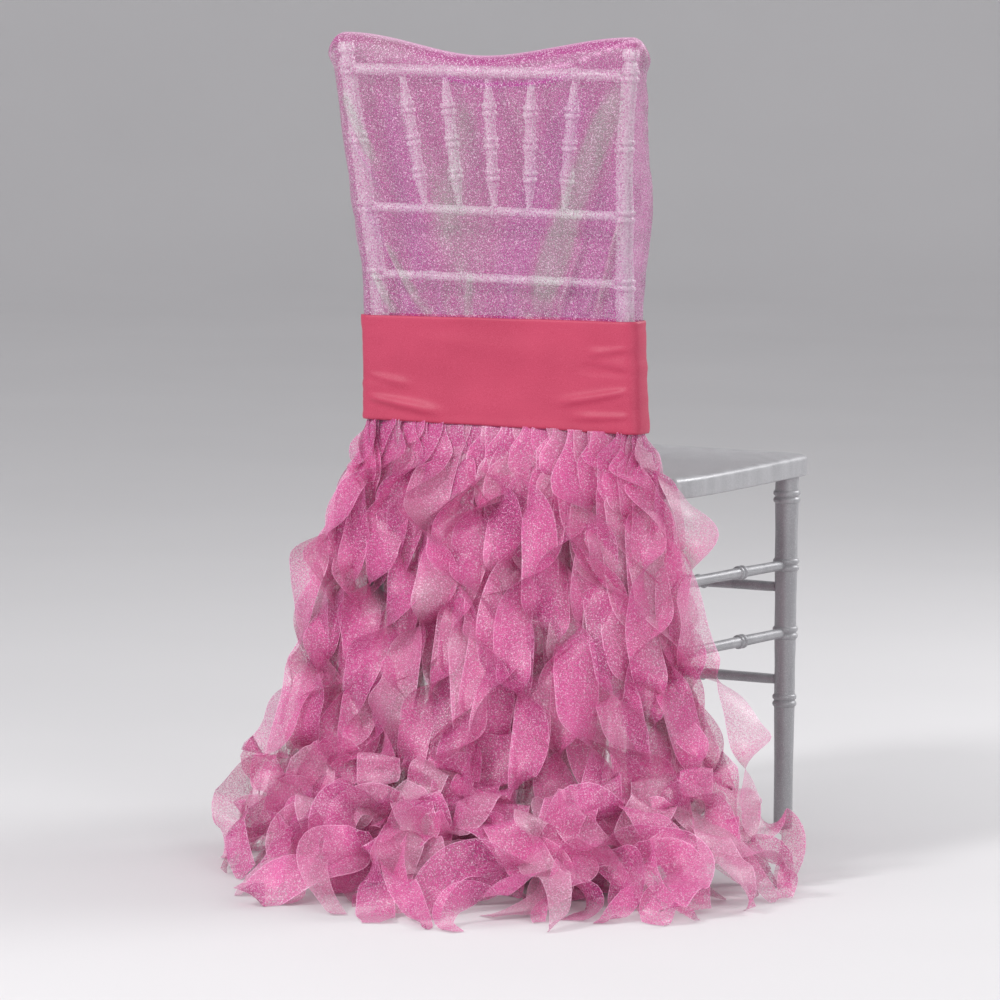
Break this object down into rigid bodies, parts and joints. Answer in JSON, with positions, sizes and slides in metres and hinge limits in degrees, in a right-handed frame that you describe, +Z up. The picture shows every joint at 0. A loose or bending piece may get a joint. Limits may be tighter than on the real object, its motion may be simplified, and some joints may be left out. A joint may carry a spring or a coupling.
{
  "type": "chair back cover on a banquet chair",
  "caption": "Sheer hood over a banquet chair's back, held by a stretch satin band, with a skirt of spiral-cut organza strips that pools on the floor.",
  "frame": {"origin": "middle of the whole object's box, on the floor", "axes": "+X across the chair, +Y towards the front of its seat, +Z up"},
  "size_m": [0.712, 0.8542, 0.9331],
  "materials": {
    "silver_paint": "satin",
    "pink_organza": "satin",
    "rose_satin": "satin"
  },
  "bodies": {
    "root": {"hood": "pink_organza", "band": "rose_satin", "fringe_inner_back": "pink_organza", "fringe_middle_back": "pink_organza", "fringe_middle_left": "pink_organza", "fringe_middle_right": "pink_organza", "fringe_outer_back": "pink_organza", "fringe_outer_left": "pink_organza", "fringe_outer_right": "pink_organza", "rear_post_left": "silver_paint", "rear_post_right": "silver_paint", "front_leg_left": "silver_paint", "front_leg_right": "silver_paint", "rail_top": "silver_paint", "rail_middle": "silver_paint", "rail_lower": "silver_paint", "spindle_1": "silver_paint", "spindle_2": "silver_paint", "spindle_3": "silver_paint", "spindle_4": "silver_paint", "spindle_5": "silver_paint", "stretcher_upper_left": "silver_paint", "stretcher_lower_left": "silver_paint", "stretcher_upper_right": "silver_paint", "stretcher_lower_right": "silver_paint", "stretcher_upper_front": "silver_paint", "stretcher_lower_front": "silver_paint", "stretcher_rear": "silver_paint", "seat": "silver_paint"}
  },
  "joints": []
}
